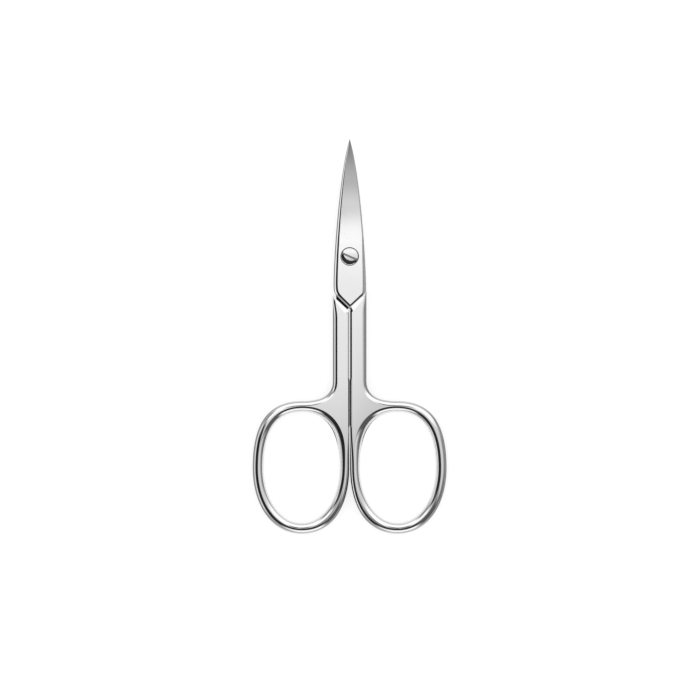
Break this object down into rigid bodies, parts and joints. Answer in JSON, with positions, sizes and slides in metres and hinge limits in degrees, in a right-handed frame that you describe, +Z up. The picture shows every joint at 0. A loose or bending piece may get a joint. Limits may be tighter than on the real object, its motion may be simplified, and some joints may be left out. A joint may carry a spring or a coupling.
{
  "type": "nail scissors",
  "caption": "Small scissors for nails: slim pointed blades on flat shanks with long oval finger rings, turning on a slotted screw.",
  "frame": {"origin": "middle of the overall length and width, on the surface that the closed scissors lie on", "axes": "+Y from the finger rings towards the tips, +Z up out of the screw's head, +X towards the front half's finger ring"},
  "size_m": [0.0444, 0.0904, 0.003],
  "materials": {
    "polished_steel": "mirror-polished steel with faint fine polishing lines",
    "screw_steel": "polished steel with a cut slot"
  },
  "bodies": {
    "rear": {"rear_half": "polished_steel", "pivot_screw": "screw_steel"},
    "front": {"front_half": "polished_steel"}
  },
  "joints": [
    {"name": "pivot", "type": "hinge", "parent": "rear", "child": "front", "pos_m": [0, 0.0183, 0.0015], "axis": [0, 0, 1], "range_deg": [0, 60]}
  ]
}
